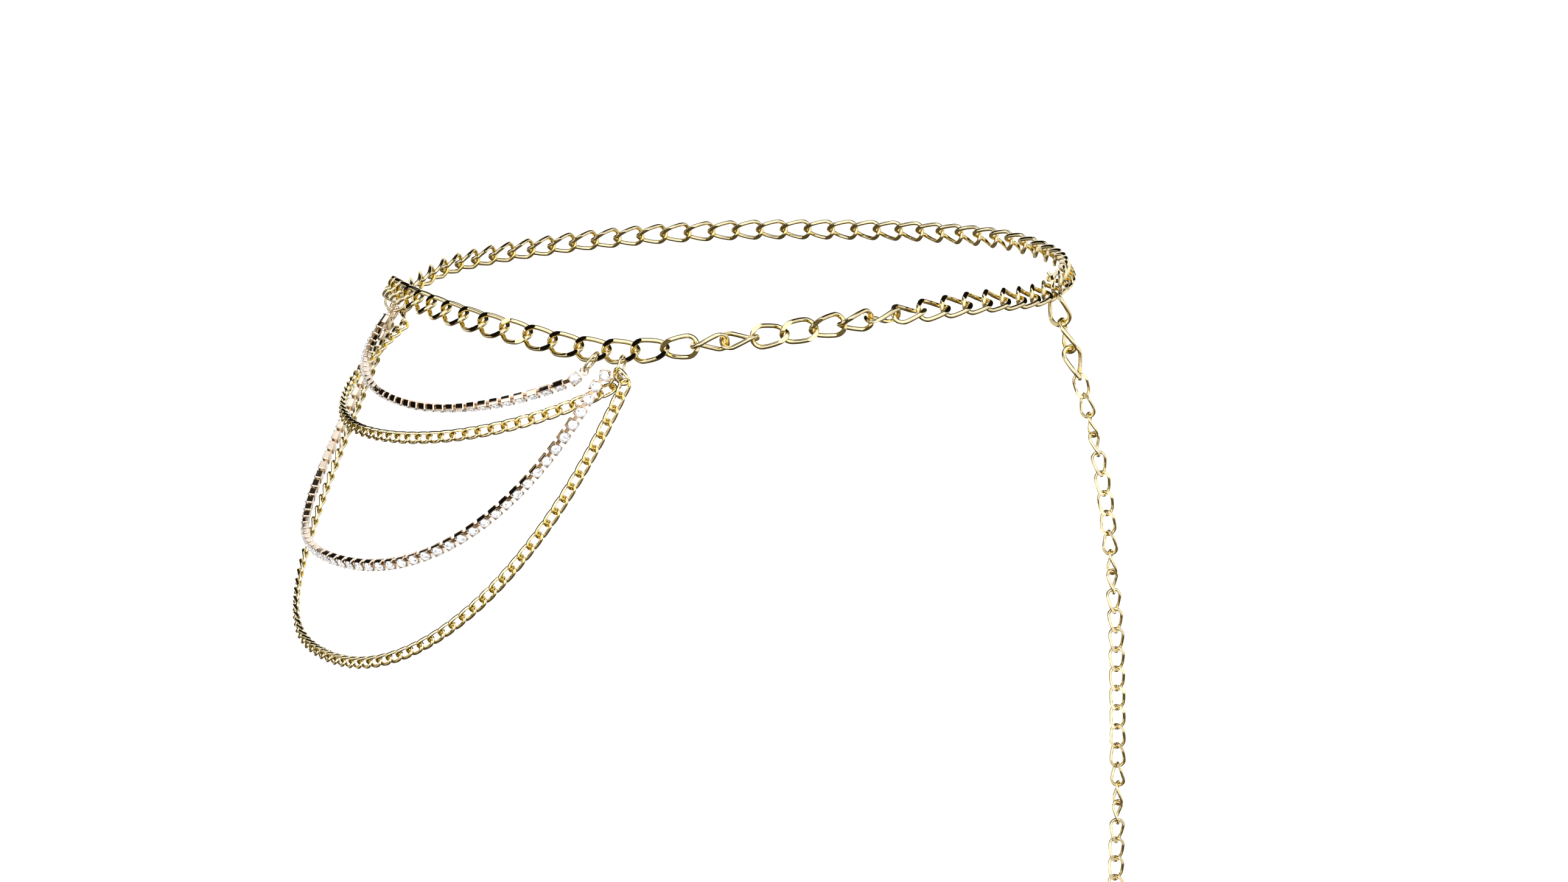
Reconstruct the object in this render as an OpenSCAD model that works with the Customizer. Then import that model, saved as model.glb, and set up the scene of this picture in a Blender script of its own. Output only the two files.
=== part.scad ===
// Waist chain worn round the hips: a large curb chain closed by a clasp, a tail that hangs
// from the hooked link, and two rhinestone and two small curb swags over one hip.
// +Z is up, the wearer faces -Y and the swags lie over the wearer's right hip, at -X.

/* [Waist loop] */
// Width of the loop across the hips
waist_w = 264; // [220:1:320]
// Depth of the loop front to back
waist_d = 252; // [210:1:310]
// How far the weight of the swags pulls the loop down
waist_dip = 9; // [0:0.5:14]
// Place of the rings that hold the swags, in degrees round from the hip
ring_angle = 43; // [36:1:50]
// Place of the clasp, in degrees round from the same hip
clasp_angle = 129; // [110:1:160]

/* [Large links] */
// Outer length of a large link
link_l = 14.2; // [13.6:0.1:16]
// Outer width of a large link
link_w = 9.1; // [8.6:0.1:11]
// Wire of a large link
link_wire = 1.75; // [1.4:0.05:1.9]
// Play between two linked wires
link_play = 0.2; // [0.15:0.05:0.5]
// Turn of the wire from the middle of a link to its end
link_twist = 40; // [36:1:46]

/* [Clasp] */
// Length of the thick side of the clasp
clasp_body_l = 6; // [4:0.5:7]
// Thickness of that side
clasp_body_d = 2.5; // [2:0.1:2.8]
// Size of the clasp's thumb knob
clasp_knob = 1.2; // [0.8:0.1:1.6]

/* [Tail] */
// Number of large links at the top of the tail
tail_large = 3; // [1:1:5]
// Number of smaller links below them
tail_small = 27; // [10:1:28]
// Outer length of a smaller link
tail_link_l = 10.1; // [9.5:0.1:10.5]
// Outer width of a smaller link
tail_link_w = 6.2; // [5.9:0.1:7]
// Wire of a smaller link
tail_wire = 1.2; // [1:0.05:1.3]
// How far out from its top the end of the tail stands
tail_stand = 29; // [20:1:36]

/* [Swags] */
// Width of a stone cup
cup_w = 3.9; // [3.7:0.1:4.4]
// Height of a cup wall
cup_h = 2.3; // [1.8:0.1:2.8]
// Distance from cup to cup
cup_pitch = 5.12; // [4.9:0.02:5.6]
// Diameter of a stone
stone_d = 3.7; // [3.2:0.1:4]
// Height of the stone above its cup
stone_h = 0.8; // [0.7:0.1:1.2]
// Width of the small curb chain
curb_w = 4.3; // [3.5:0.1:5]
// Fall of the upper stone swag below its rings
stone_upper_drop = 16; // [10:1:20]
// Fall of the upper curb swag below its rings
curb_upper_drop = 23; // [18:1:30]
// Fall of the lower stone swag below its rings
stone_lower_drop = 72; // [55:1:85]
// Fall of the lower curb swag below its rings
curb_lower_drop = 106; // [90:1:125]
// How far the hip stands out below the loop
hip_flare = 44; // [36:1:50]

/* [Rings] */
// Outer diameter of a jump ring
ring_d = 9; // [8.6:0.1:9.4]
// Wire of a jump ring
ring_wire = 1; // [0.8:0.05:1.1]
// Least distance along the loop between the two rings of one side
ring_apart = 10; // [9.5:0.1:10.4]
// Outer diameter of the eye on an end cup
eye_d = 3.4; // [3:0.1:3.6]
// Wire of that eye
eye_wire = 0.6; // [0.5:0.05:0.7]

/* [Hidden] */

gold = "#d9c27a";
clear_stone = "#e8edf2";

// Height of the loop every 20 degrees round from the wearer's right hip, as shares of the dip
loop_rise = [0, -0.43, -1, -0.48, 0.1, 0.33, 0.12, 0.35, 0.42, 0.55, 0.45, 0.3, 0.2, 0.05, -0.15,
    -0.35, -0.85, 0];
// Roll of the loop's links, by links counted on from the one that holds the lower ring
link_roll = [[0, -28], [1, -28], [2, 12], [3, 58], [4, 104], [5, 150], [6, 174], [7, 194], [8, 218],
    [9, 250], [10, 292], [11, 308], [16, 316], [22, 332]];
// Roll of the tail's links, by links counted down from its top
tail_roll = [[0, 106], [1, 151], [2, 196], [3, 241], [4, 286], [5, 328], [6, 362], [7, 396], [8, 411],
    [9, 421], [10, 441], [11, 466], [12, 506], [13, 546], [14, 571], [16, 586], [20, 611], [22, 631],
    [23, 656], [24, 686], [25, 721], [26, 756], [27, 771], [29, 781]];
// Columns of the tail's route: distance out from its top as a share of the tail's stand, and drop
// below it as a share of the tail's length
ROUTE_OUT = 0;
ROUTE_DROP = 1;
tail_route = [[0, 0], [0.18, 0.064], [0.365, 0.129], [0.52, 0.197], [0.66, 0.266], [0.76, 0.335],
    [0.83, 0.412], [0.93, 0.541], [0.97, 0.67], [1, 0.815], [1, 1.03]];

// Columns of a ring's row: links on from the lower ring's link, its place along the link as a
// share of the link's length, its slant along the loop and downward, and how far its centre
// hangs from the held wire as a share of its diameter
RING_STEP = 0;
RING_X = 1;
RING_ALONG = 2;
RING_DOWN = 3;
RING_REACH = 4;
upper_ring_row = [1, 0.056, 0.45, 0.7, 0.078];
lower_ring_row = [0, 0.056, 0.15, 1, 0.211];
// Lean of the rings out from the body
ring_lean = 0.2;

// Columns of a swag's row: the row of its rings, its fall, how many degrees short of the rings'
// links it ends, its stand-off from the loop at the ends and at the middle as shares of the hip's
// flare, how far its ends lie below those links as a share of a link's width, and the powers that
// shape the fall and the stand-off
RINGS = 0;
FALL = 1;
END_BACK = 2;
END_GAP = 3;
MID_GAP = 4;
END_DROP = 5;
FALL_POWER = 6;
GAP_POWER = 7;
stone_upper_row = [upper_ring_row, stone_upper_drop, 1.75, 0.123, 0.255, 1.042, 2.3, 4];
curb_upper_row = [lower_ring_row, curb_upper_drop, 1.1, 0.018, 0.575, 1.36, 2.1, 1.75];
stone_lower_row = [lower_ring_row, stone_lower_drop, 2.3, 0.114, 0.936, 0.8325, 2.75, 1.95];
curb_lower_row = [lower_ring_row, curb_lower_drop, -1.7, 0.166, 1.007, 1.052, 2.5, 2.25];
// How far the stones turn down from facing outward, from the back end of a swag to its front end
stone_upper_roll = [[-1, 0], [-0.8, -34], [-0.6, -24], [-0.4, 15], [-0.2, 47], [0, 69], [0.2, 86],
    [0.35, 86], [0.6, 68], [0.9, 66], [1, 10]];
stone_lower_roll = [[-1, 0], [-0.3, 0], [0, 32], [0.3, 29], [0.6, 57], [0.8, 40], [1, 12]];
// Places on the lower ring, in degrees round from its lowest point, where the strands hang
stone_lower_hold = 22;
curb_upper_hold = -12;
curb_lower_hold = 58;

// Stone cups, as shares of a cup's width: cut of its corners, depth of the stone's seat, claws, the
// tabs between cups, the stem of an end cup's eye and the room beside that cup. The table is a
// share of the stone's diameter
cup_corner = 0.08 * cup_w;
stone_sides = 8;
stone_turn = 180 / stone_sides;
stone_seat = 0.07 * cup_w;
table_share = 0.56;
claw = 0.186 * cup_w;
claw_h = 0.256 * cup_w;
claw_place = 0.36 * cup_w;
tab_w = 0.3 * cup_w;
tab_h = 0.186 * cup_w;
tab_gap = 0.058 * cup_w;
eye_stem = 0.3 * cup_w;
stem_share = 1.5;
end_room = 0.17 * cup_w;
end_tab = 0.2 * cup_w;

// Small curb swags: distance of an end from its ring's wire, sections, taper and width of the
// ends, as shares of the chain's width
curb_clear = 0.15 * curb_w;
curb_step = 2.5 * curb_w;
curb_taper = 0.8 * curb_w;
curb_end = 0.4;
tube_sides = 8;

loop_steps = 360;
swag_steps = 60;
big_sides = 12;
small_sides = 10;
wire_sides = 5;
bow_corners = 5;
// Degrees, and shares of a link's length and of a cup's width, over which a line's direction is
// taken
angle_look = 1;
tail_look = 0.4;
cup_look = 0.35;
// How far a link's corners face its middle rather than its long axis
corner_pull = 0.35;

function unit(v) = v / norm(v);

// Smooth closed curve through equally spaced values
function wave(values, angle) =
    let (
        n = len(values),
        u = angle / 360 * n,
        i = floor(u),
        t = u - i,
        a = values[(i - 1 + 2 * n) % n],
        b = values[(i + 2 * n) % n],
        c = values[(i + 1 + 2 * n) % n],
        d = values[(i + 2 + 2 * n) % n]
    )
    b + 0.5 * t * (c - a + t * (2 * a - 5 * b + 4 * c - d + t * (3 * (b - c) + d - a)));

// Point of the loop at an angle round from the wearer's right hip by way of the front
function loop_point(angle, gap = 0) = [
    -(waist_w / 2 + gap) * cos(angle),
    -(waist_d / 2 + gap) * sin(angle),
    waist_dip * wave(loop_rise, angle),
];
function outward(angle) = unit([-cos(angle) / waist_w, -sin(angle) / waist_d, 0]);

// Rows of [length so far, parameter] along a curve given as points
function lengths(points, values) =
    [for (i = 0, s = 0; i < len(points);
        s = s + (i + 1 < len(points) ? norm(points[i + 1] - points[i]) : 0), i = i + 1)
        [s, values[i]]];
function swapped(rows) = [for (row = rows) [row[1], row[0]]];

// Rows of [length so far, number] of a route's points, and its point at a length along it
function route_rows(route) = lengths(route, [for (i = [0:len(route) - 1]) i]);
function route_at(route, rows, s) =
    let (u = lookup(s, rows), i = min(floor(u), len(route) - 2))
    route[i] + (u - i) * (route[i + 1] - route[i]);

loop_angles = [for (i = [0:loop_steps]) i * 360 / loop_steps];
loop_rows = lengths([for (a = loop_angles) loop_point(a)], loop_angles);
loop_len = loop_rows[loop_steps][0];
link_count = ceil(loop_len / (link_l - 2 * link_wire - link_play));
link_pitch = loop_len / link_count;

function link_angle(k) = lookup(((k + link_count) % link_count) * link_pitch, loop_rows);
function nearest_link(angle) = round(lookup(angle, swapped(loop_rows)) / link_pitch);

ring_link = nearest_link(ring_angle);
clasp_link = nearest_link(clasp_angle);
hook_link = clasp_link - 1;

// Rows of a placement: along the strand, up across it, out from the body, and its place
function placed(along, out, roll, place) =
    let (
        z0 = unit(out - (out * along) * along),
        y0 = cross(z0, along),
        y = y0 * cos(roll) + z0 * sin(roll),
        z = z0 * cos(roll) - y0 * sin(roll)
    )
    [along, y, z, place];
function spot(frame, p) = frame[3] + p[0] * frame[0] + p[1] * frame[1] + p[2] * frame[2];

function loop_frame(k) =
    let (
        a = link_angle(k),
        along = unit(loop_point(a + angle_look) - loop_point(a - angle_look)),
        turns = k > link_count / 2 ? k - link_count : k
    )
    placed(along, outward(a), lookup(turns - ring_link, link_roll), loop_point(a));

module put(frame)
    multmatrix([for (i = [0:2]) [for (j = [0:3]) frame[j][i]]]) children();

// Centre line of a link: an oval whose plane turns from one end to the other
function oval(l, w, wire, sides, twist) =
    let (
        half_l = (l - wire) / 2,
        half_w = (w - wire) / 2
    )
    [for (end = [1, -1], i = [0:sides / 2 - 1])
        let (
            a = min(90, -90 + 180 * i / (bow_corners - 1)),
            x = i < bow_corners ? end * (half_l - half_w + half_w * cos(a)) : 0,
            y = end * half_w * sin(a),
            turn = -twist * x / half_l
        )
        [x, y * cos(turn), y * sin(turn)]];

// Closed wire swept round a closed line of points
module wire_loop(line, wire) {
    n = len(line);
    points = [for (i = [0:n - 1])
        let (
            along = unit(line[(i + 1) % n] - line[(i + n - 1) % n]),
            inward = -[corner_pull * line[i][0], line[i][1], line[i][2]],
            side = unit(inward - (inward * along) * along),
            up = cross(along, side)
        )
        for (j = [0:wire_sides - 1])
            let (b = 360 * j / wire_sides)
            line[i] + wire / 2 * (cos(b) * side + sin(b) * up)];
    faces = [for (i = [0:n - 1], j = [0:wire_sides - 1])
        let (
            i2 = (i + 1) % n,
            j2 = (j + 1) % wire_sides,
            a = i * wire_sides + j,
            b = i2 * wire_sides + j,
            c = i2 * wire_sides + j2,
            d = i * wire_sides + j2
        )
        for (face = [[a, b, c], [a, c, d]]) face];
    polyhedron(points, faces, convexity = 4);
}

module large_link() wire_loop(oval(link_l, link_w, link_wire, big_sides, link_twist), link_wire);
module smaller_link()
    wire_loop(oval(tail_link_l, tail_link_w, tail_wire, small_sides, link_twist), tail_wire);

back_turn = floor(link_count / 7);

module waist_chain_front() color(gold)
    for (k = [-back_turn:clasp_link - 1]) put(loop_frame(k)) large_link();

module waist_chain_back() color(gold)
    for (k = [clasp_link + 1:link_count - back_turn - 1]) put(loop_frame(k)) large_link();

// Clasp: a closed oval of the links' own form with a thick upper side and a thumb knob
module clasp() color(gold) put(loop_frame(clasp_link)) {
    large_link();
    translate([0, (link_w - link_wire) / 2, 0]) {
        rotate([0, 90, 0]) cylinder(h = clasp_body_l, d = clasp_body_d, center = true, $fn = 24);
        rotate([-90, 0, 0]) cylinder(h = clasp_body_d / 2 + clasp_knob, d = clasp_knob, $fn = 20);
    }
}

// Tail: hung from the lower side of the link beside the clasp
tail_top = spot(loop_frame(hook_link), [0, -(link_w - link_wire) / 2, 0]);
tail_out = outward(link_angle(hook_link));
function link_reach(l, wire) = l / 2 - wire;
large_reach = link_reach(link_l, link_wire);
small_reach = link_reach(tail_link_l, tail_wire);
function tail_s(i) =
    large_reach - link_wire / 2 - 2 * link_play
    + min(i, tail_large - 1) * (2 * large_reach - link_play)
    + (i >= tail_large ? large_reach + small_reach - link_play : 0)
    + max(0, i - tail_large) * (2 * small_reach - link_play);
tail_len = tail_s(tail_large + tail_small - 1) + small_reach;
function tail_point(row) =
    tail_top + row[ROUTE_OUT] * tail_stand * tail_out - row[ROUTE_DROP] * tail_len * [0, 0, 1];
tail_points = [for (row = tail_route) tail_point(row)];
tail_rows = route_rows(tail_points);
function tail_frame(i) =
    let (
        s = tail_s(i),
        look = tail_look * tail_link_l,
        ahead = route_at(tail_points, tail_rows, s + look),
        behind = route_at(tail_points, tail_rows, s - look)
    )
    placed(unit(ahead - behind), tail_out, lookup(i, tail_roll),
        route_at(tail_points, tail_rows, s));

module tail_large_links() color(gold)
    for (i = [0:tail_large - 1]) put(tail_frame(i)) large_link();

module tail_small_links() color(gold)
    for (i = [tail_large:tail_large + tail_small - 1]) put(tail_frame(i)) smaller_link();

// Rows of a ring's place: its axis, the way it hangs, out from the body, its centre
function ring_placed(axis, hang, place) =
    let (down = unit(hang - (hang * axis) * axis))
    [axis, down, cross(axis, down), place];
module ring() rotate([0, 90, 0])
    rotate_extrude($fn = 32) translate([(ring_d - ring_wire) / 2, 0]) circle(d = ring_wire, $fn = 20);
function ring_spot(frame, angle) =
    spot(frame, (ring_d - ring_wire) / 2 * [0, cos(angle), sin(angle)]);
side_wire = (link_w - link_wire) / 2;

// Each ring passes round the lower side of a link and is drawn down and along by its swags
function ring_steps(row) = row[RING_STEP] * ceil(ring_apart / link_pitch);
function ring_frame(side, row) =
    let (
        k = side * (ring_link - ring_steps(row)),
        link = loop_frame(k),
        out = outward(link_angle(k)),
        hang = unit(ring_lean * out - side * row[RING_ALONG] * link[0]
            - row[RING_DOWN] * [0, 0, 1])
    )
    ring_placed(unit(cross(hang, out)), hang,
        spot(link, [side * row[RING_X] * link_l, -side_wire, 0]) + row[RING_REACH] * ring_d * hang);
function upper_ring(side) = ring_frame(side, upper_ring_row);
function lower_ring(side) = ring_frame(side, lower_ring_row);

module front_ring_upper() color(gold) put(upper_ring(1)) ring();
module front_ring_lower() color(gold) put(lower_ring(1)) ring();
module back_ring_upper() color(gold) put(upper_ring(-1)) ring();
module back_ring_lower() color(gold) put(lower_ring(-1)) ring();

function ends_upper() = [for (side = [-1, 1]) ring_spot(upper_ring(side), 0)];
function ends_lower(angle) = [for (side = [-1, 1]) ring_spot(lower_ring(side), angle)];

// Line of a swag, from -1 at its back end to 1 at its front end, and its route from ring to ring
function swag_line(row, t) =
    let (
        held = loop_frame(ring_link - ring_steps(row[RINGS])),
        spread = around(held[3]) - row[END_BACK],
        share = row[END_GAP] + (row[MID_GAP] - row[END_GAP]) * (1 - pow(abs(t), row[GAP_POWER])),
        p = loop_point(t * spread, share * hip_flare),
        fall = row[FALL] * (1 - pow(abs(t), row[FALL_POWER]))
    )
    [p[0], p[1], held[3][2] - row[END_DROP] * link_w - fall];
function swag_route(row, ends) =
    concat([ends[0]], [for (i = [0:swag_steps]) swag_line(row, 2 * i / swag_steps - 1)], [ends[1]]);
function around(p) = atan2(-p[1] / waist_d, -p[0] / waist_w);
function route_frame(route, rows, rolls, s) =
    let (
        length = rows[len(rows) - 1][0],
        look = cup_look * cup_w,
        along = unit(route_at(route, rows, s + look) - route_at(route, rows, s - look)),
        p = route_at(route, rows, s)
    )
    placed(along, outward(around(p)), lookup(2 * s / length - 1, rolls), p);

// Stone cup: square wall with cut corners, four claws and a stone with a table and eight facets
module cup() {
    intersection() {
        cube([cup_w, cup_w, cup_h], center = true);
        rotate([0, 0, 45])
            cube([sqrt(2) * (cup_w - cup_corner), sqrt(2) * (cup_w - cup_corner), cup_h],
                center = true);
    }
    translate([0, 0, cup_h / 2 - stone_seat]) rotate([0, 0, stone_turn])
        cylinder(h = stone_h + stone_seat, d1 = stone_d, d2 = stone_d * table_share,
            $fn = stone_sides);
    for (x = [-1, 1], y = [-1, 1])
        translate([x * claw_place, y * claw_place, (cup_h + claw_h) / 2 - stone_seat])
            rotate([0, 0, 45]) cube([claw, claw, claw_h], center = true);
}
module tab(length)
    translate([length / 2, 0, -cup_h / 4]) cube([length, tab_w, tab_h], center = true);
module eye(side, reach) {
    translate([side * reach, 0, 0]) rotate_extrude($fn = 32)
        translate([(eye_d - eye_wire) / 2, 0]) circle(d = eye_wire, $fn = 16);
    stem = reach - (cup_w + eye_d - eye_wire) / 2;
    translate([side * (cup_w + stem) / 2, 0, 0])
        cube([stem + eye_wire, stem_share * eye_wire, stem_share * eye_wire], center = true);
}
eye_reach = cup_w / 2 + eye_stem + (eye_d - eye_wire) / 2;

// An end cup points straight at its ring
function end_frame(place, held, side) =
    placed(side * unit(held - place), outward(around(place)), 0, place);

module stone_swag(row, ends, rolls) {
    route = swag_route(row, ends);
    rows = route_rows(route);
    first = eye_reach + end_room;
    run = rows[len(rows) - 1][0] - 2 * first;
    count = round(run / cup_pitch);
    pitch = run / count;
    for (i = [1:count - 1]) put(route_frame(route, rows, rolls, first + i * pitch)) {
        cup();
        if (i < count - 1) tab(pitch - cup_w / 2 - tab_gap);
    }
    for (side = [-1, 1]) {
        place = route_at(route, rows, side == 1 ? run + 2 * first - eye_reach : eye_reach);
        held = side == 1 ? ends[1] : ends[0];
        put(end_frame(place, held, side)) {
            cup();
            eye(side, norm(held - place));
            mirror([side == 1 ? 1 : 0, 0, 0]) tab(cup_w / 2 + end_tab);
        }
    }
}

curb_reach = ring_wire / 2 + curb_clear;

// Small curb chain, drawn as a tube of the chain's width with drawn-in ends
module curb_swag(row, ends) {
    route = swag_route(row, ends);
    rows = route_rows(route);
    run = rows[len(rows) - 1][0] - 2 * curb_reach;
    count = ceil(run / curb_step);
    shares = concat([0, curb_taper / 2, curb_taper], [for (i = [1:count - 1]) run * i / count],
        [run - curb_taper, run - curb_taper / 2, run]);
    n = len(shares);
    widths = [for (s = shares)
        curb_w * min(1, curb_end + (1 - curb_end) * min(s, run - s) / curb_taper)];
    points = [for (i = [0:n - 1])
        let (frame = route_frame(route, rows, [[0, 0]], curb_reach + shares[i]))
        for (j = [0:tube_sides - 1])
            let (a = 360 * (j + 0.5) / tube_sides)
            spot(frame, widths[i] / 2 * [0, cos(a), sin(a)])];
    walls = [for (i = [0:n - 2], j = [0:tube_sides - 1])
        let (
            j2 = (j + 1) % tube_sides,
            a = i * tube_sides + j,
            b = i * tube_sides + j2
        )
        for (face = [[a, b + tube_sides, b], [a, a + tube_sides, b + tube_sides]]) face];
    caps = [for (j = [1:tube_sides - 2], last = [0, 1])
        let (a = last * (n - 1) * tube_sides)
        last == 1 ? [a, a + j + 1, a + j] : [a, a + j, a + j + 1]];
    polyhedron(points, concat(walls, caps), convexity = 6);
}

module stone_swag_upper() color(clear_stone)
    stone_swag(stone_upper_row, ends_upper(), stone_upper_roll);
module stone_swag_lower() color(clear_stone)
    stone_swag(stone_lower_row, ends_lower(stone_lower_hold), stone_lower_roll);
module curb_swag_upper() color(gold) curb_swag(curb_upper_row, ends_lower(curb_upper_hold));
module curb_swag_lower() color(gold) curb_swag(curb_lower_row, ends_lower(curb_lower_hold));

waist_chain_front();
waist_chain_back();
clasp();
tail_large_links();
tail_small_links();
front_ring_upper();
front_ring_lower();
back_ring_upper();
back_ring_lower();
stone_swag_upper();
stone_swag_lower();
curb_swag_upper();
curb_swag_lower();
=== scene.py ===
import math

import bpy
from mathutils import Matrix, Vector


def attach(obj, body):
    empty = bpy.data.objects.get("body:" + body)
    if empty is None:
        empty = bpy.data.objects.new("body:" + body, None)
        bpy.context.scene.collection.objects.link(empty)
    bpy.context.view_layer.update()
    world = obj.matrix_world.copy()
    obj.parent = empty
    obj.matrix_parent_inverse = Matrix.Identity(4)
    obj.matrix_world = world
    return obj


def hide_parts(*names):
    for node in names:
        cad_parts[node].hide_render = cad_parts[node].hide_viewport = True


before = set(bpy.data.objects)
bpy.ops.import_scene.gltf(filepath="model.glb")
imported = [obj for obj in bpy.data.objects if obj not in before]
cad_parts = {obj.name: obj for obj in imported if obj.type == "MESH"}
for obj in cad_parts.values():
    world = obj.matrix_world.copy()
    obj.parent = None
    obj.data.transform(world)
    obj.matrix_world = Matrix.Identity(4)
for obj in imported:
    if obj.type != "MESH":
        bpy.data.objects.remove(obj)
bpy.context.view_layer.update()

MM = 0.001

# ---- camera at the photograph's viewing angle ----
IMAGE_W = 2576
FOCAL_PX = 4650.0
SENSOR_W = 36.0
CLIP_NEAR, CLIP_FAR = 0.01, 100.0
CAMERA_AT = Vector((-0.57724, -0.92377, 0.15309))
CAMERA_RIGHT = Vector((0.83800, -0.54568, 0.0)).normalized()
CAMERA_AHEAD = Vector((0.53502, 0.82162, -0.19670)).normalized()


def make_camera():
    data = bpy.data.cameras.new("camera")
    data.sensor_width = SENSOR_W
    data.sensor_fit = "HORIZONTAL"
    data.lens = FOCAL_PX / IMAGE_W * SENSOR_W
    data.clip_start, data.clip_end = CLIP_NEAR, CLIP_FAR
    camera = bpy.data.objects.new("camera", data)
    bpy.context.scene.collection.objects.link(camera)
    up = CAMERA_RIGHT.cross(CAMERA_AHEAD).normalized()
    turn = Matrix((CAMERA_RIGHT, up, -CAMERA_AHEAD)).transposed()
    camera.matrix_world = Matrix.Translation(CAMERA_AT) @ turn.to_4x4()
    bpy.context.scene.camera = camera


make_camera()

# ---- sizes of the part, in millimetres, and angles in degrees ----
WAIST_W, WAIST_D, WAIST_DIP = 264.0, 252.0, 9.0
RING_ANGLE, CLASP_ANGLE = 43.0, 129.0
LINK = dict(length=14.2, width=9.1, wire=1.75)
TAIL_LINK = dict(length=10.1, width=6.2, wire=1.2)
CURB_LINK = dict(length=7.8, width=4.6, wire=1.3)
# play between two linked wires, and the turn of a link's wire from its middle to its end
PLAY, CURB_PLAY = 0.2, 0.12
TWIST = 40.0
TAIL_LARGE, TAIL_SMALL = 3, 27
CUP_W, CUP_H, CUP_PITCH = 3.9, 2.3, 5.12
STONE_D, STONE_H = 3.7, 0.8
RING_D, RING_WIRE = 9.0, 1.0
EYE_D, EYE_WIRE, EYE_STEM = 3.4, 0.6, 0.3 * CUP_W
# how far the tail and the lowest swag stand off from the loop's line, and the least way along the
# loop between the two front rings
TAIL_STAND, HIP_FLARE = 29.0, 44.0
RING_APART = 10.0

# height of the loop at equal steps round from the wearer's right hip, as shares of its dip
LOOP_RISE = (0, -0.43, -1, -0.48, 0.1, 0.33, 0.12, 0.35, 0.42, 0.55, 0.45, 0.3, 0.2, 0.05, -0.15,
             -0.35, -0.85, 0)
# roll of the links in degrees: of the loop's, counted on from the lower ring's link, and of the
# tail's, counted down from its top
LINK_ROLL = ((0, -28), (1, -28), (2, 12), (3, 58), (4, 104), (5, 150), (6, 174), (7, 194), (8, 218),
             (9, 250), (10, 292), (11, 308), (16, 316), (22, 332))
TAIL_ROLL = ((0, 106), (1, 151), (2, 196), (3, 241), (4, 286), (5, 328), (6, 362), (7, 396),
             (8, 411), (9, 421), (10, 441), (11, 466), (12, 506), (13, 546), (14, 571), (16, 586),
             (20, 611), (22, 631), (23, 656), (24, 686), (25, 721), (26, 756), (27, 771), (29, 781))
# distance out as a share of the tail's stand, drop as a share of its length
TAIL_ROUTE = ((0, 0), (0.18, 0.064), (0.365, 0.129), (0.52, 0.197), (0.66, 0.266), (0.76, 0.335),
              (0.83, 0.412), (0.93, 0.541), (0.97, 0.67), (1, 0.815), (1, 1.03))
# rings: steps from the lower ring's link towards the hip, place along the link as a share of its
# length, slant along the loop and down, and reach from wire to middle as a share of the ring
UPPER_RING = dict(step=1, x=0.056, along=0.45, down=0.7, reach=0.078)
LOWER_RING = dict(step=0, x=0.056, along=0.15, down=1.0, reach=0.211)
RING_LEAN = 0.2
# swags: fall in mm, degrees short of the rings, stand-off as shares of the hip's flare, drop of
# the ends as a share of a link's width, and the powers that shape them
SWAGS = {
    "stone_upper": dict(rings=UPPER_RING, fall=16, back=1.75, end_gap=0.123, mid_gap=0.255,
                        drop=1.042, fall_power=2.3, gap_power=4),
    "curb_upper": dict(rings=LOWER_RING, fall=23, back=1.1, end_gap=0.018, mid_gap=0.575,
                       drop=1.36, fall_power=2.1, gap_power=1.75),
    "stone_lower": dict(rings=LOWER_RING, fall=72, back=2.3, end_gap=0.114, mid_gap=0.936,
                        drop=0.8325, fall_power=2.75, gap_power=1.95),
    "curb_lower": dict(rings=LOWER_RING, fall=106, back=-1.7, end_gap=0.166, mid_gap=1.007,
                       drop=1.052, fall_power=2.5, gap_power=2.25),
}
# roll of each swag from -1 at its back end to 1 at its front end, and where its ends hold on to
# the lower rings, in degrees round from a ring's lowest point
STONE_UPPER_ROLL = ((-1, 0), (-0.8, -34), (-0.6, -24), (-0.4, 15), (-0.2, 47), (0, 69), (0.2, 86),
                    (0.35, 86), (0.6, 68), (0.9, 66), (1, 10))
STONE_LOWER_ROLL = ((-1, 0), (-0.3, 0), (0, 32), (0.3, 29), (0.6, 57), (0.8, 40), (1, 12))
CURB_UPPER_ROLL = ((-1, 0), (0, -10), (1, -5))
CURB_LOWER_ROLL = ((-1, 0), (0, 0), (0.5, 14), (1, 12))
STONE_LOWER_HOLD, CURB_UPPER_HOLD, CURB_LOWER_HOLD = 22.0, -12.0, 58.0
UP = Vector((0, 0, 1))


def lookup(x, rows):
    """Straight-line value of a table at x, held at its ends."""
    if x <= rows[0][0]:
        return rows[0][1]
    for (x0, y0), (x1, y1) in zip(rows, rows[1:]):
        if x <= x1:
            return y0 + (y1 - y0) * (x - x0) / (x1 - x0)
    return rows[-1][1]


def lengths(points):
    """Length along a line of points, up to each point."""
    total, out = 0.0, [0.0]
    for a, b in zip(points, points[1:]):
        total += (b - a).length
        out.append(total)
    return out


# ---- the loop ----
def wave(values, angle):
    """Smooth value at an angle of a table that closes on itself."""
    n = len(values)
    u = angle / 360.0 * n
    i = math.floor(u)
    t = u - i
    a, b, c, d = (values[(i + k) % n] for k in (-1, 0, 1, 2))
    return b + 0.5 * t * (c - a + t * (2 * a - 5 * b + 4 * c - d + t * (3 * (b - c) + d - a)))


def loop_point(angle, gap=0.0):
    """Point of the loop's line, in degrees from the wearer's right hip to the front and on."""
    a = math.radians(angle)
    return Vector((-(WAIST_W / 2 + gap) * math.cos(a), -(WAIST_D / 2 + gap) * math.sin(a),
                   WAIST_DIP * wave(LOOP_RISE, angle)))


def outward(angle):
    """Level direction away from the body at an angle of the loop."""
    a = math.radians(angle)
    return Vector((-math.cos(a) / WAIST_W, -math.sin(a) / WAIST_D, 0)).normalized()


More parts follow.
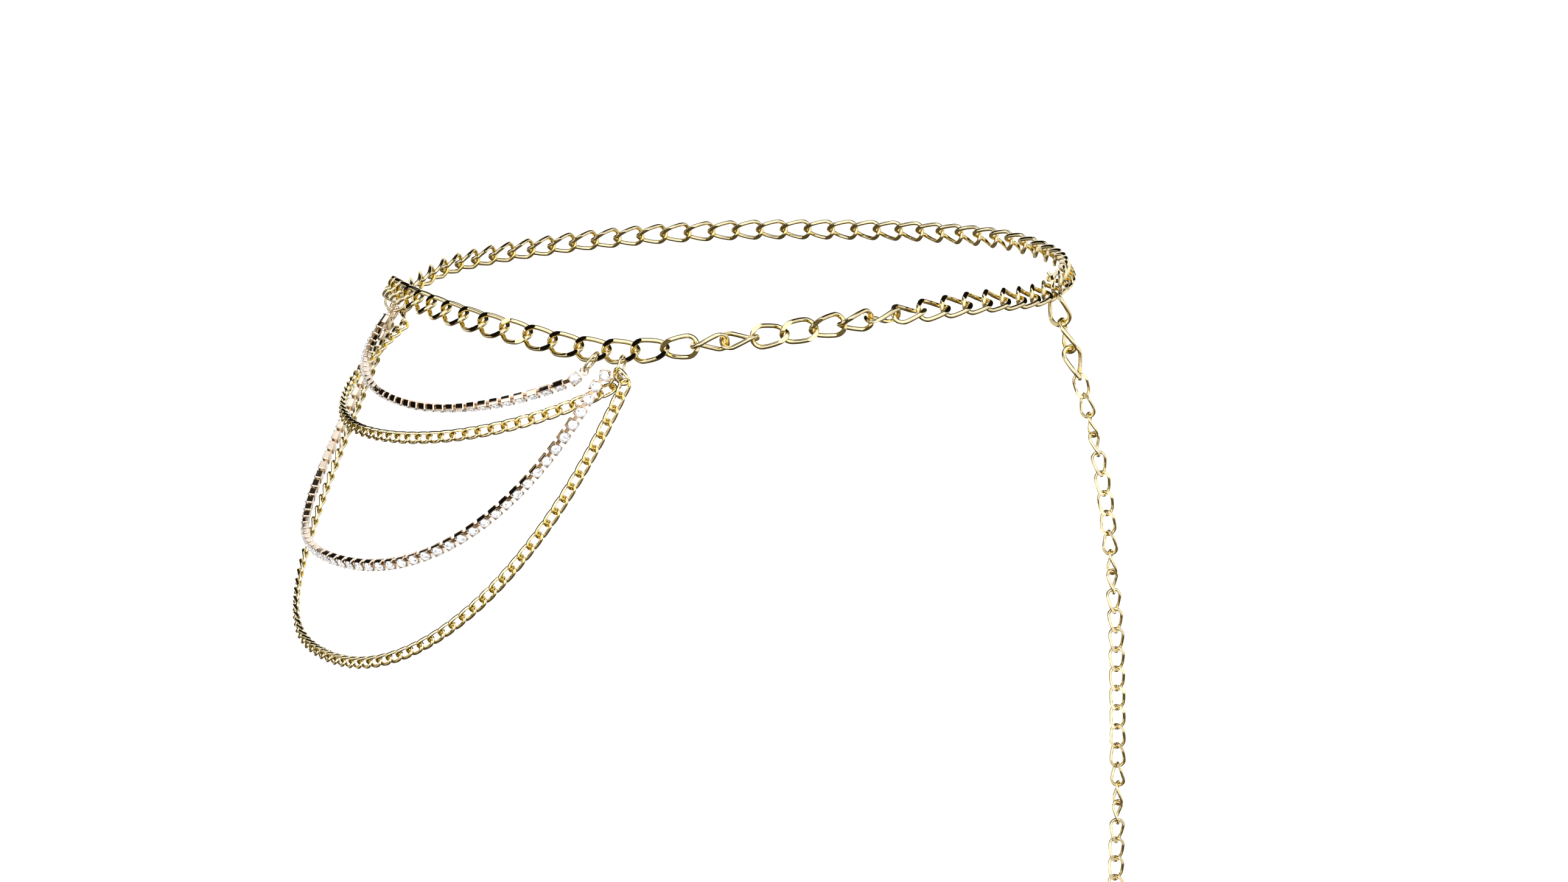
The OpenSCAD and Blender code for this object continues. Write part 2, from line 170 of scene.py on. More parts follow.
LOOP_ANGLES = [float(i) for i in range(361)]
LOOP_LENGTHS = lengths([loop_point(a) for a in LOOP_ANGLES])
LOOP_LEN = LOOP_LENGTHS[-1]
LENGTH_TO_ANGLE = list(zip(LOOP_LENGTHS, LOOP_ANGLES))
ANGLE_TO_LENGTH = list(zip(LOOP_ANGLES, LOOP_LENGTHS))
LINK_COUNT = math.ceil(LOOP_LEN / (LINK["length"] - 2 * LINK["wire"] - PLAY))
LINK_PITCH = LOOP_LEN / LINK_COUNT


def link_angle(k):
    return lookup((k % LINK_COUNT) * LINK_PITCH, LENGTH_TO_ANGLE)


def nearest_link(angle):
    return round(lookup(angle, ANGLE_TO_LENGTH) / LINK_PITCH)


RING_LINK = nearest_link(RING_ANGLE)
CLASP_LINK = nearest_link(CLASP_ANGLE)
HOOK_LINK = CLASP_LINK - 1
# links behind the right hip that still belong to the front node
BACK_TURN = LINK_COUNT // 7


def placed(along, out, roll, place):
    """A placement: along the strand, across it, out from the body, and its place.

    Roll, in degrees, turns it about the strand.
    """
    z0 = (out - out.dot(along) * along).normalized()
    y0 = z0.cross(along)
    c, s = math.cos(math.radians(roll)), math.sin(math.radians(roll))
    return along, y0 * c + z0 * s, z0 * c - y0 * s, place


def spot(f, x, y, z):
    """Point at x, y, z of a placement."""
    return f[3] + x * f[0] + y * f[1] + z * f[2]


def loop_frame(k):
    """Placement of the loop's link k, counted from the right hip to the front and on."""
    a = link_angle(k)
    along = (loop_point(a + 1) - loop_point(a - 1)).normalized()
    turns = k - LINK_COUNT if k > LINK_COUNT / 2 else k
    return placed(along, outward(a), lookup(turns - RING_LINK, LINK_ROLL), loop_point(a))


# ---- the tail ----
SIDE_WIRE = (LINK["width"] - LINK["wire"]) / 2
TAIL_TOP = spot(loop_frame(HOOK_LINK), 0, -SIDE_WIRE, 0)
TAIL_OUT = outward(link_angle(HOOK_LINK))
LARGE_REACH = LINK["length"] / 2 - LINK["wire"]
SMALL_REACH = TAIL_LINK["length"] / 2 - TAIL_LINK["wire"]
# a link's direction is taken between two points this far from its middle
TAIL_LOOK = 0.4 * TAIL_LINK["length"]


def tail_s(i):
    """Length down the tail to the middle of link i."""
    s = LARGE_REACH - LINK["wire"] / 2 - 2 * PLAY
    s += min(i, TAIL_LARGE - 1) * (2 * LARGE_REACH - PLAY)
    if i >= TAIL_LARGE:
        s += LARGE_REACH + SMALL_REACH - PLAY + (i - TAIL_LARGE) * (2 * SMALL_REACH - PLAY)
    return s


TAIL_LEN = tail_s(TAIL_LARGE + TAIL_SMALL - 1) + SMALL_REACH
TAIL_POINTS = [TAIL_TOP + out * TAIL_STAND * TAIL_OUT - drop * TAIL_LEN * UP
               for out, drop in TAIL_ROUTE]
TAIL_LENGTHS = lengths(TAIL_POINTS)


def along_line(points, sums, s):
    """Point of a line of points at a length along it."""
    for i in range(len(points) - 1):
        if s <= sums[i + 1] or i == len(points) - 2:
            t = (s - sums[i]) / (sums[i + 1] - sums[i])
            t = max(0.0, min(1.0, t))
            return points[i].lerp(points[i + 1], t)


def tail_frame(i):
    """Placement of the tail's link i, counted down from its top."""
    s = tail_s(i)
    ahead = along_line(TAIL_POINTS, TAIL_LENGTHS, s + TAIL_LOOK)
    behind = along_line(TAIL_POINTS, TAIL_LENGTHS, s - TAIL_LOOK)
    return placed((ahead - behind).normalized(), TAIL_OUT, lookup(i, TAIL_ROLL),
                  along_line(TAIL_POINTS, TAIL_LENGTHS, s))


# ---- rings and swags ----
def ring_link(row):
    return RING_LINK - row["step"] * math.ceil(RING_APART / LINK_PITCH)


def ring_frame(side, row):
    """Placement of a ring, its axis first; side is 1 at the front and -1 at the back."""
    k = side * ring_link(row)
    link = loop_frame(k)
    out = outward(link_angle(k))
    hang = (RING_LEAN * out - side * row["along"] * link[0] - row["down"] * UP).normalized()
    axis = hang.cross(out).normalized()
    held = spot(link, side * row["x"] * LINK["length"], -SIDE_WIRE, 0)
    return axis, hang, axis.cross(hang), held + row["reach"] * RING_D * hang


def ring_spot(f, angle):
    """Point of a ring's wire, in degrees round from its lowest point."""
    r = (RING_D - RING_WIRE) / 2
    return spot(f, 0, r * math.cos(math.radians(angle)), r * math.sin(math.radians(angle)))


def swag_line(row, t):
    """Point of a swag's line, t from -1 at its back end to 1 at its front end."""
    k = ring_link(row["rings"])
    share = row["end_gap"] + (row["mid_gap"] - row["end_gap"]) * (1 - abs(t) ** row["gap_power"])
    p = loop_point(t * (link_angle(k) - row["back"]), share * HIP_FLARE)
    end_z = loop_point(link_angle(k)).z - row["drop"] * LINK["width"]
    p.z = end_z - row["fall"] * (1 - abs(t) ** row["fall_power"])
    return p


SWAG_STEPS = 60
# the direction of a cup or small link is taken between two points this far from its middle
CUP_LOOK = 0.35 * CUP_W


class Route:
    """A swag's line from ring to ring."""

    def __init__(self, row, hold):
        ends = [ring_spot(ring_frame(side, row["rings"]), hold) for side in (-1, 1)]
        line = [swag_line(row, 2 * i / SWAG_STEPS - 1) for i in range(SWAG_STEPS + 1)]
        self.points = [ends[0]] + line + [ends[1]]
        self.sums = lengths(self.points)
        self.length = self.sums[-1]
        self.ends = ends

    def at(self, s):
        return along_line(self.points, self.sums, s)

    def frame(self, s, rolls):
        along = (self.at(s + CUP_LOOK) - self.at(s - CUP_LOOK)).normalized()
        p = self.at(s)
        return placed(along, around(p), lookup(2 * s / self.length - 1, rolls), p)


def around(p):
    """Outward direction at a point beside the loop."""
    return outward(math.degrees(math.atan2(-p.y / WAIST_D, -p.x / WAIST_W)))


# ---- meshes ----
class Build:
    """Gathers vertices and faces in millimetres and makes one object of them in metres.

    A slot is one material for all the faces of a call, or a list with one for each.
    """

    def __init__(self):
        self.points = []
        self.faces = []
        self.slots = []

    def add(self, points, faces, f=None, slot=0):
        base = len(self.points)
        if f is not None:
            points = [spot(f, *p) for p in points]
        self.points += [tuple(c * MM for c in p) for p in points]
        self.faces += [tuple(base + i for i in face) for face in faces]
        self.slots += [slot] * len(faces) if isinstance(slot, int) else slot

    def object(self, name, materials, sharp, flat=()):
        """The object; edges over sharp degrees and the faces of the flat slots aren't smoothed."""
        mesh = bpy.data.meshes.new(name)
        mesh.from_pydata(self.points, [], self.faces)
        for material in materials:
            mesh.materials.append(material)
        mesh.polygons.foreach_set("material_index", self.slots)
        mesh.validate()
        mesh.polygons.foreach_set("use_smooth", [slot not in flat for slot in self.slots])
        mesh.set_sharp_from_angle(angle=math.radians(sharp))
        piece = bpy.data.objects.new(name, mesh)
        bpy.context.scene.collection.objects.link(piece)
        return piece


def ring_of(radius, z, n, turn=0.0):
    """Counter-clockwise ring of n points, turned on by a share of a step."""
    angles = [math.radians(360 * (i + turn) / n) for i in range(n)]
    return [Vector((radius * math.cos(a), radius * math.sin(a), z)) for a in angles]


def band(a, b, n):
    """Quads between two counter-clockwise rings of n points that start at a and, above it, b."""
    return [(a + i, a + (i + 1) % n, b + (i + 1) % n, b + i) for i in range(n)]


def closed_tube(rings):
    """Body with a face at both ends, of counter-clockwise rings of the same number of points."""
    n, last = len(rings[0]), len(rings) - 1
    faces = [tuple(range(n))[::-1], tuple(range(last * n, last * n + n))]
    for i in range(last):
        faces += band(i * n, (i + 1) * n, n)
    return [p for ring in rings for p in ring], faces


def oval_line(length, width, wire, steps):
    """Centre line of a link, its plane turning from one end to the other."""
    half_l, half_w = (length - wire) / 2, (width - wire) / 2
    straight, bend = half_l - half_w, math.pi * half_w
    run = 4 * straight + 2 * bend
    out = []
    for i in range(steps):
        s = run * i / steps
        if s < 2 * straight:
            x, y = -straight + s, half_w
        elif s < 2 * straight + bend:
            a = math.pi / 2 - (s - 2 * straight) / half_w
            x, y = straight + half_w * math.cos(a), half_w * math.sin(a)
        elif s < 4 * straight + bend:
            x, y = straight - (s - 2 * straight - bend), -half_w
        else:
            a = -math.pi / 2 - (s - 4 * straight - bend) / half_w
            x, y = -straight + half_w * math.cos(a), half_w * math.sin(a)
        turn = -math.radians(TWIST) * x / half_l
        out.append(Vector((x, y * math.cos(turn), y * math.sin(turn))))
    return out


def wire_ring(radius, wire, steps, sides):
    """Round wire bent to a ring."""
    points, faces = [], []
    for i, middle in enumerate(ring_of(radius, 0.0, steps)):
        inward = -middle.normalized()
        for j in range(sides):
            b = 2 * math.pi * j / sides
            points.append(middle + wire / 2 * (math.cos(b) * inward + math.sin(b) * UP))
        faces += band(i * sides, (i + 1) % steps * sides, sides)
    return points, faces


# height of a link's flats as a share of its wire, corners across a flat, where the bows begin as a
# share of the half length, and how near to a flat's height a face still counts as its edge. The
# insides of the bows, off the flats, take a painted reflection: a deeper gold for bounced light.
FLAT_SHARE = 1.06
FLAT_POINTS = 3
BOW_SHARE = 0.42
FLAT_EDGE = 0.97


def wire_turns(sides, front, back):
    """Angles of a wire's corners from its front: flats at the front and back, round between.

    Sides is the number of corners in each round part, front and back are half a flat's angle.
    """
    gap = (math.pi - back - front) / (sides + 1)
    half = [gap * (k + 1) for k in range(sides)]
    turns = [front * t for t in (-1, 0, 1)] + [front + g for g in half]
    return turns + [math.pi + back * t for t in (-1, 0, 1)] + [math.pi + back + g for g in half]


def curb_link(size, steps, sides):
    """A curb link: twisted wire cut flat on both faces; slot 1 paints reflection in its bows."""
    line = oval_line(size["length"], size["width"], size["wire"], steps)
    radius, cut = size["wire"] / 2, size["wire"] * FLAT_SHARE
    round_points = (sides - 2 * FLAT_POINTS) // 2
    # half angle of a flat where the wire doesn't reach it: its corners are spread evenly
    least = math.pi / (2 * round_points + 4)
    points = []
    for i in range(steps):
        along = (line[(i + 1) % steps] - line[i - 1]).normalized()
        up = (UP - UP.dot(along) * along).normalized()
        side = along.cross(up)
        halves = []
        for face in (1, -1):
            share = (cut - face * line[i].z) / (radius * up.z)
            halves.append(max(math.acos(max(-1.0, min(1.0, share))), least))
        front, back = halves
        for b in wire_turns(round_points, front, back):
            p = line[i] + radius * (math.cos(b) * up + math.sin(b) * side)
            p.z = max(-cut, min(cut, p.z))
            points.append(p)
    n = len(points) // steps
    bow = BOW_SHARE * size["length"] / 2
    faces, slots = [], []
    for i in range(steps):
        for face in band(i * n, (i + 1) % steps * n, n):
            middle = (points[face[0]] + points[face[1]]) / 2
            faces.append(face)
            # faces on the inner side of a bow and off its flats get the painted reflection gold
            inside = abs(line[i].x) > bow and middle.xy.length < line[i].xy.length
            slots.append(int(inside and abs(middle.z) < FLAT_EDGE * cut))
    return points, faces, slots


# ---- materials ----
def new_material(name):
    material = bpy.data.materials.new(name)
    material.use_nodes = True
    tree = material.node_tree
    return material, tree, tree.nodes["Principled BSDF"]


def colour_ramp(tree, factor, rows, interpolation="LINEAR"):
    """Ramp of rows of place and colour, driven by a socket."""
    ramp = tree.nodes.new("ShaderNodeValToRGB")
    ramp.color_ramp.interpolation = interpolation
    stops = ramp.color_ramp.elements
    for stop, (place, colour) in zip((stops[0], stops[1]), (rows[0], rows[-1])):
        stop.position, stop.color = place, (*colour, 1)
    for place, colour in rows[1:-1]:
        stops.new(place).color = (*colour, 1)
    tree.links.new(factor, ramp.inputs["Fac"])
    return ramp.outputs["Color"]


# cloud of the plate: its scale, its detail, where its two tones begin and end, the shares of the
# roughness that it spans, and the hammering it gives
CLOUD_SCALE, FINE_CLOUD, CLOUD_DETAIL = 900.0, 1600.0, 3.0
DEEP_END, PALE_START = 0.35, 0.65
ROUGH_LEAST, ROUGH_MOST = 0.6, 1.4
HAMMER_STRENGTH, HAMMER_DEPTH = 0.05, 0.0001


def metal(name, colour, deep, rough, scale=CLOUD_SCALE):
    """Polished plate: two close tones, fine roughness and a faint hammering from the polish."""
    material, tree, shader = new_material(name)
    shader.inputs["Metallic"].default_value = 1.0
    where = tree.nodes.new("ShaderNodeTexCoord")
    cloud = tree.nodes.new("ShaderNodeTexNoise")
    cloud.inputs["Scale"].default_value = scale
    cloud.inputs["Detail"].default_value = CLOUD_DETAIL
    tree.links.new(where.outputs["Object"], cloud.inputs["Vector"])
    tones = colour_ramp(tree, cloud.outputs["Fac"], ((DEEP_END, deep), (PALE_START, colour)))
    tree.links.new(tones, shader.inputs["Base Color"])
    spread = tree.nodes.new("ShaderNodeMapRange")
    spread.inputs["To Min"].default_value = rough * ROUGH_LEAST
    spread.inputs["To Max"].default_value = rough * ROUGH_MOST
    tree.links.new(cloud.outputs["Fac"], spread.inputs["Value"])
    tree.links.new(spread.outputs["Result"], shader.inputs["Roughness"])
    bump = tree.nodes.new("ShaderNodeBump")
    bump.inputs["Strength"].default_value = HAMMER_STRENGTH
    bump.inputs["Distance"].default_value = HAMMER_DEPTH
    tree.links.new(cloud.outputs["Fac"], bump.inputs["Height"])
    tree.links.new(bump.outputs["Normal"], shader.inputs["Normal"])
    return material


STONE_METALLIC, STONE_ROUGH, STONE_IOR, CELL_SCALE = 0.25, 0.04, 1.8, 1500.0


def stone(name, tones):
    """Foiled glass: small cells of the given tones under a clear polish: painted facet glints."""
    material, tree, shader = new_material(name)
    shader.inputs["Metallic"].default_value = STONE_METALLIC
    shader.inputs["Roughness"].default_value = STONE_ROUGH
    shader.inputs["IOR"].default_value = STONE_IOR
    where = tree.nodes.new("ShaderNodeTexCoord")
    cells = tree.nodes.new("ShaderNodeTexVoronoi")
    cells.inputs["Scale"].default_value = CELL_SCALE
    tree.links.new(where.outputs["Object"], cells.inputs["Vector"])
    # the cells are painted glints, standing in for facets that catch the light
    facets = colour_ramp(tree, cells.outputs["Color"], tones, "CONSTANT")
    tree.links.new(facets, shader.inputs["Base Color"])
    return material


gold = metal("pale_gold", (0.84, 0.75, 0.50), (0.76, 0.66, 0.41), 0.06)
# deeper gold inside the large links' bows: painted reflection of light bounced there
bow_painted_reflection_gold = metal("bow_painted_reflection_gold", (0.88, 0.72, 0.28), (0.80, 0.62, 0.20), 0.08)
curb_gold = metal("curb_gold", (0.90, 0.81, 0.58), (0.83, 0.73, 0.48), 0.08, FINE_CLOUD)
# deeper gold inside the small links' bows: painted reflection of light bounced there
curb_bow_painted_reflection_gold = metal("curb_bow_painted_reflection_gold", (0.84, 0.68, 0.18), (0.74, 0.56, 0.10), 0.1, FINE_CLOUD)
rose_gold = metal("rose_gold", (0.87, 0.76, 0.65), (0.79, 0.65, 0.52), 0.08, FINE_CLOUD)
tan_gold = metal("tan_gold", (0.76, 0.54, 0.34), (0.62, 0.40, 0.22), 0.15, FINE_CLOUD)
# the stone's pale tone with painted glints, and a copy painted dark as a reflection on some facets
pale_stone_painted_glints = stone("pale_stone_painted_glints", ((0, (0.55, 0.58, 0.64)), (0.3, (0.86, 0.90, 0.95)),
                                    (0.5, (0.97, 0.98, 1.0))))
stone_painted_dark_reflection = stone("stone_painted_dark_reflection", ((0, (0.16, 0.17, 0.20)), (0.35, (0.42, 0.45, 0.50)),
                                  (0.6, (0.80, 0.84, 0.90))))
# each pair: a chain's plain gold, then its painted reflection gold for the insides of the bows
GOLDS, CURB_GOLDS = (gold, bow_painted_reflection_gold), (curb_gold, curb_bow_painted_reflection_gold)

# ---- large chain and tail ----
BIG_STEPS, BIG_SIDES = 72, 18
SMALL_STEPS, SMALL_SIDES = 60, 16
CURB_STEPS, CURB_SIDES = 48, 10
# angle in degrees from which an edge stays sharp
LINK_SHARP, STONE_SHARP = 24, 22


def chain(name, node, size, steps, sides, frames, materials):
    """One piece of curb links, a link on each placement, which replaces a node."""
    build = Build()
    points, faces, slots = curb_link(size, steps, sides)
    for f in frames:
        build.add(points, faces, f, slots)
    piece = build.object(name, materials, LINK_SHARP)
    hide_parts(node)
    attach(piece, "root")


chain("front_links", "waist_chain_front", LINK, BIG_STEPS, BIG_SIDES,
      [loop_frame(k) for k in range(-BACK_TURN, CLASP_LINK)], GOLDS)
chain("back_links", "waist_chain_back", LINK, BIG_STEPS, BIG_SIDES,
      [loop_frame(k) for k in range(CLASP_LINK + 1, LINK_COUNT - BACK_TURN)], GOLDS)
chain("tail_top_links", "tail_large_links", LINK, BIG_STEPS, BIG_SIDES,
      [tail_frame(i) for i in range(TAIL_LARGE)], GOLDS)
chain("tail_links", "tail_small_links", TAIL_LINK, SMALL_STEPS, SMALL_SIDES,
      [tail_frame(i) for i in range(TAIL_LARGE, TAIL_LARGE + TAIL_SMALL)], GOLDS)


# ---- small curb swags ----
def curb_swag(name, node, row, hold, rolls):
    """Small curb links along a swag's line, from the back ring to the front one."""
    route = Route(row, hold)
    reach = CURB_LINK["length"] / 2 - CURB_LINK["wire"] - RING_WIRE / 2 - CURB_PLAY
    pitch = CURB_LINK["length"] - 2 * CURB_LINK["wire"] - CURB_PLAY
    run = route.length - 2 * reach
    count = round(run / pitch)
    frames = [route.frame(reach + run * i / count, rolls) for i in range(count + 1)]
    chain(name, node, CURB_LINK, CURB_STEPS, CURB_SIDES, frames, CURB_GOLDS)


curb_swag("upper_curb_links", "curb_swag_upper", SWAGS["curb_upper"], CURB_UPPER_HOLD,
          CURB_UPPER_ROLL)
curb_swag("lower_curb_links", "curb_swag_lower", SWAGS["curb_lower"], CURB_LOWER_HOLD,
          CURB_LOWER_ROLL)


# ---- stone swags ----
def square_ring(half, corner, z):
    """A square with cut corners, counter-clockwise."""
    a, b = half, half - corner
    return [Vector((x, y, z)) for x, y in ((a, -b), (a, b), (b, a), (-b, a), (-a, b), (-a, -b),
                                           (-b, -a), (b, -a))]


CORNER = 0.08 * CUP_W
# outline of a cup from its foot over the lip to the seat: shares of its width and of its height
CUP_RINGS = ((0.86, -0.50), (0.97, -0.46), (1.00, -0.38), (1.00, 0.44), (0.99, 0.48), (0.97, 0.50),
             (0.95, 0.50), (0.94, 0.44), (0.92, 0.36))


def cup_shell():
    """Open square cup with cut corners, drawn in at the foot, with a rounded lip."""
    return closed_tube([square_ring(share * CUP_W / 2, share * CORNER, z * CUP_H)
                        for share, z in CUP_RINGS])


# main facets of a stone, its table's share of the width, and the kite facets' of width and crown
FACETS, TABLE_SHARE, KITE_SHARE, KITE_RISE = 8, 0.56, 0.82, 0.52


def cut_stone(radius, crown, pavilion):
    """Brilliant cut: table, star, kite, girdle facets above, some painted dark, a cone below."""
    n = FACETS
    table = ring_of(radius * TABLE_SHARE, crown, n, 0.5)
    middle = ring_of(radius * KITE_SHARE, crown * KITE_RISE, n)
    girdle = ring_of(radius, 0.0, 2 * n)
    points = table + middle + girdle + [Vector((0, 0, -pavilion))]
    # light: facets in the stone's pale tone with painted glints; grey: facets painted dark as
    # reflection
    light, grey = [tuple(range(n))], []
    for i in range(n):
        j = (i + 1) % n
        light.append((i, n + i, n + j))
        (grey if i % 3 == 1 else light).append((i, n + j, j))
    for i in range(n):
        before, at, after = (2 * n + (2 * i + k) % (2 * n) for k in (-1, 0, 1))
        (grey if i % 2 else light).append((n + i, before, at))
        (light if i % 4 else grey).append((n + i, at, after))
        light.append((n + i, after, n + (i + 1) % n))
    light += [(2 * n + i, 4 * n, 2 * n + (i + 1) % (2 * n)) for i in range(2 * n)]
    return points, light, grey


# a claw's reach from the cup's middle line, its height over the cup's middle, and half its width
CLAW_LINE = ((2.20, 0.70, 0.30), (2.24, 1.20, 0.29), (2.12, 1.52, 0.25), (1.72, 1.72, 0.17))
CLAW_SIDES = 6


def claw():
    """A claw that stands on the cup's corner and bends over the stone."""
    side = Vector((0, 1, 0))
    rings = []
    for k, (reach, z, radius) in enumerate(CLAW_LINE):
        ahead = CLAW_LINE[min(k + 1, len(CLAW_LINE) - 1)]
        behind = CLAW_LINE[max(k - 1, 0)]
        along = Vector((ahead[0] - behind[0], 0, ahead[1] - behind[1])).normalized()
        up = side.cross(along)
        rings.append([Vector((reach, 0, z)) + p.x * up + p.y * side
                      for p in ring_of(radius, 0.0, CLAW_SIDES)])
    return closed_tube(rings)


def turned(points, angle):
    """Points turned about Z, in degrees."""
    turn = Matrix.Rotation(math.radians(angle), 3, "Z")
    return [turn @ p for p in points]


def slab(x0, x1, y, z0, z1):
    """Box from x0 to x1, y to each side and z0 to z1."""
    points = [Vector((x, s * y, z)) for x in (x0, x1) for s in (-1, 1) for z in (z0, z1)]
    faces = [(0, 1, 3, 2), (4, 6, 7, 5), (0, 4, 5, 1), (2, 3, 7, 6), (0, 2, 6, 4), (1, 5, 7, 3)]
    return points, faces


# places of the materials in a stone swag; the stone's pale facets carry painted glints, the rest a
# painted dark reflection
ROSE, GLINT_STONE, DARK_REFLECTION_STONE, TAN = 0, 1, 2, 3
CROWN, PAVILION, STONE_UP = 0.9 * STONE_H, 0.4, CUP_H / 2 + 0.05
CUP = cup_shell()
GEM = cut_stone(STONE_D / 2, CROWN, PAVILION)
CLAW = claw()
# added room between an end cup and the next, and the strip that joins two cups: half its width,
# half its thickness, its underside and how far it goes into a cup
END_ROOM = 0.17 * CUP_W
TAB_HALF, TAB_THICK, TAB_LOW, TAB_LAP = 0.15 * CUP_W, 0.09 * CUP_W, -0.36 * CUP_H, 0.3
# stem of an eye: where it starts in its cup, and half its width
STEM_START, STEM_HALF = 0.45 * CUP_W, 0.7 * EYE_WIRE
EYE_STEPS, EYE_SIDES = 24, 8


def eye(side, reach):
    """Ring at the end of a swag, at a distance from its last cup."""
    points, faces = wire_ring((EYE_D - EYE_WIRE) / 2, EYE_WIRE, EYE_STEPS, EYE_SIDES)
    return [p + Vector((side * reach, 0, 0)) for p in points], faces


def stone_swag(name, node, row, hold, rolls):
    """One piece of cups with stones, claws and the strips between, and an eye at each end."""
    route = Route(row, hold)
    end_s = CUP_W / 2 + EYE_STEM + (EYE_D - EYE_WIRE) / 2
    first = end_s + END_ROOM
    run = route.length - 2 * first
    count = round(run / CUP_PITCH)
    pitch = run / count
    build = Build()
    frames = [route.frame(first + i * pitch, rolls) for i in range(1, count)]
    for side, held in zip((-1, 1), route.ends):
        place = route.at(end_s if side < 0 else route.length - end_s)
        f = placed(side * (held - place).normalized(), around(place), 0, place)
        reach = (held - place).length
        build.add(*eye(side, reach), f, ROSE)
        x0, x1 = sorted((side * STEM_START, side * (reach - EYE_D / 2 + EYE_WIRE)))
        build.add(*slab(x0, x1, STEM_HALF, -EYE_WIRE / 2, EYE_WIRE / 2), f, ROSE)
        frames.insert(0 if side < 0 else len(frames), f)
    for f, ahead in zip(frames, frames[1:] + [None]):
        build.add(*CUP, f, ROSE)
        for quarter in range(4):
            build.add(turned(CLAW[0], 45 + 90 * quarter), CLAW[1], f, ROSE)
        gem = [p + STONE_UP * UP for p in GEM[0]]
        build.add(gem, GEM[1], f, GLINT_STONE)
        build.add(gem, GEM[2], f, DARK_REFLECTION_STONE)
        if ahead is not None:
            link = placed((ahead[3] - f[3]).normalized(), f[2] + ahead[2], 0, (f[3] + ahead[3]) / 2)
            half = (ahead[3] - f[3]).length / 2 - CUP_W / 2 + TAB_LAP
            build.add(*slab(-half, half, TAB_HALF, TAB_LOW, TAB_LOW + 2 * TAB_THICK), link, TAN)
    materials = [rose_gold, pale_stone_painted_glints, stone_painted_dark_reflection, tan_gold]
    piece = build.object(name, materials, STONE_SHARP, flat=(GLINT_STONE, DARK_REFLECTION_STONE))
    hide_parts(node)
    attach(piece, "root")


stone_swag("upper_stones", "stone_swag_upper", SWAGS["stone_upper"], 0.0, STONE_UPPER_ROLL)
stone_swag("lower_stones", "stone_swag_lower", SWAGS["stone_lower"], STONE_LOWER_HOLD,
           STONE_LOWER_ROLL)

# ---- clasp and rings keep their solids ----
for node in ("clasp", "front_ring_upper", "front_ring_lower", "back_ring_upper", "back_ring_lower"):
    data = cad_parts[node].data
    data.materials.clear()
    data.materials.append(gold)


# ---- floor, world and lights ----
FLOOR_Z, FLOOR_HALF = -0.245, 30.0
FLOOR_COLOUR, FLOOR_ROUGH = (0.93, 0.93, 0.92), 0.9
# colour of the room by height, from straight down at 0 to straight up at 1
ROOM = ((0.0, (0.06, 0.045, 0.02)), (0.24, (0.16, 0.13, 0.07)), (0.33, (0.66, 0.62, 0.52)),
        (0.44, (0.98, 0.97, 0.95)))
ROOM_STRENGTH = 1.15
# soft boxes and dark flags round the room: azimuth and elevation of the middle, half angle, width
# of the soft edge, all in degrees, and the brightness
PANELS = (
    (-32, 25, 38, 15, 1.35),
    (-103, 20, 14, 6, 1.5),
    (-78, 42, 16, 3, 0.006),
    (-142, 16, 28, 4, 0.006),
    (-117, 33, 7, 3, 0.006),
    (-170, 50, 24, 5, 0.006),
    (135, 61, 21, 6, 0.03),
    (60, 56, 14, 4, 0.01),
    (102, 38, 20, 4, 0.006),
)
BOX_TONE, FLAG_TONE = (1, 0.97, 0.97), (1, 0.8, 0.6)
# the key: its strength, its width, its tilt and its turn, the last three in degrees
KEY_ENERGY, KEY_ANGLE, KEY_TILT, KEY_TURN = 3.0, 70, 25, -30


def make_stage():
    mesh = bpy.data.meshes.new("floor")
    corners = ((-1, -1), (1, -1), (1, 1), (-1, 1))
    mesh.from_pydata([(x * FLOOR_HALF, y * FLOOR_HALF, FLOOR_Z) for x, y in corners], [],
                     [(0, 1, 2, 3)])
    material, _, shader = new_material("floor")
    shader.inputs["Base Color"].default_value = (*FLOOR_COLOUR, 1)
    shader.inputs["Roughness"].default_value = FLOOR_ROUGH
    mesh.materials.append(material)
    floor = bpy.data.objects.new("floor", mesh)
    bpy.context.scene.collection.objects.link(floor)
    floor.visible_glossy = False


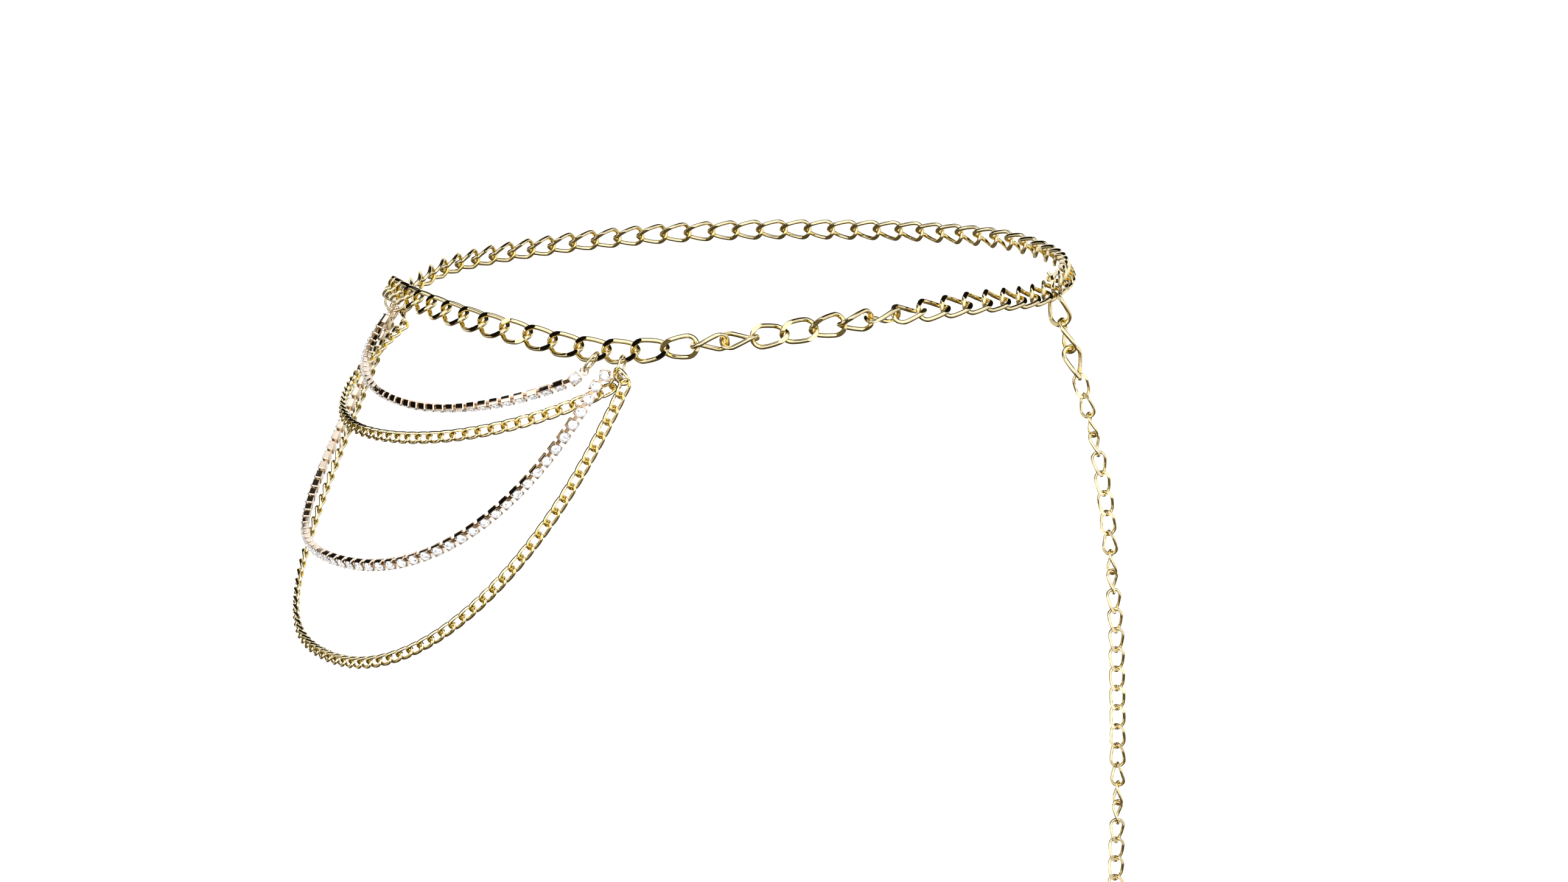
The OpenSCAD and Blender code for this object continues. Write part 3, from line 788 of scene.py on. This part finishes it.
def make_world():
    """Pale room with bright panels and dark flags, which draw the lines on polished wire."""
    world = bpy.data.worlds.new("studio")
    bpy.context.scene.world = world
    world.use_nodes = True
    tree = world.node_tree
    shader = tree.nodes["Background"]
    where = tree.nodes.new("ShaderNodeTexCoord").outputs["Generated"]
    split = tree.nodes.new("ShaderNodeSeparateXYZ")
    tree.links.new(where, split.inputs["Vector"])
    height = tree.nodes.new("ShaderNodeMapRange")
    height.inputs["From Min"].default_value = -1.0
    tree.links.new(split.outputs["Z"], height.inputs["Value"])
    colour = colour_ramp(tree, height.outputs["Result"], ROOM)
    for azimuth, elevation, half, soft, bright in PANELS:
        a, e = math.radians(azimuth), math.radians(elevation)
        near = tree.nodes.new("ShaderNodeVectorMath")
        near.operation = "DOT_PRODUCT"
        tree.links.new(where, near.inputs[0])
        near.inputs[1].default_value = (math.sin(a) * math.cos(e), -math.cos(a) * math.cos(e),
                                        math.sin(e))
        edge = tree.nodes.new("ShaderNodeMapRange")
        edge.inputs["From Min"].default_value = math.cos(math.radians(half + soft))
        edge.inputs["From Max"].default_value = math.cos(math.radians(half))
        tree.links.new(near.outputs["Value"], edge.inputs["Value"])
        mix = tree.nodes.new("ShaderNodeMixRGB")
        tone = FLAG_TONE if bright < 1 else BOX_TONE
        mix.inputs["Color2"].default_value = (*(bright * c for c in tone), 1)
        tree.links.new(edge.outputs["Result"], mix.inputs["Fac"])
        tree.links.new(colour, mix.inputs["Color1"])
        colour = mix.outputs["Color"]
    tree.links.new(colour, shader.inputs["Color"])
    shader.inputs["Strength"].default_value = ROOM_STRENGTH


def make_key():
    """Broad soft light from above, which lights the floor evenly and draws no glints."""
    data = bpy.data.lights.new("key", "SUN")
    data.energy = KEY_ENERGY
    data.angle = math.radians(KEY_ANGLE)
    lamp = bpy.data.objects.new("key", data)
    bpy.context.scene.collection.objects.link(lamp)
    lamp.rotation_euler = (math.radians(KEY_TILT), 0, math.radians(KEY_TURN))
    lamp.visible_glossy = False


make_stage()
make_world()
make_key()
bpy.context.scene.view_settings.view_transform = "Standard"
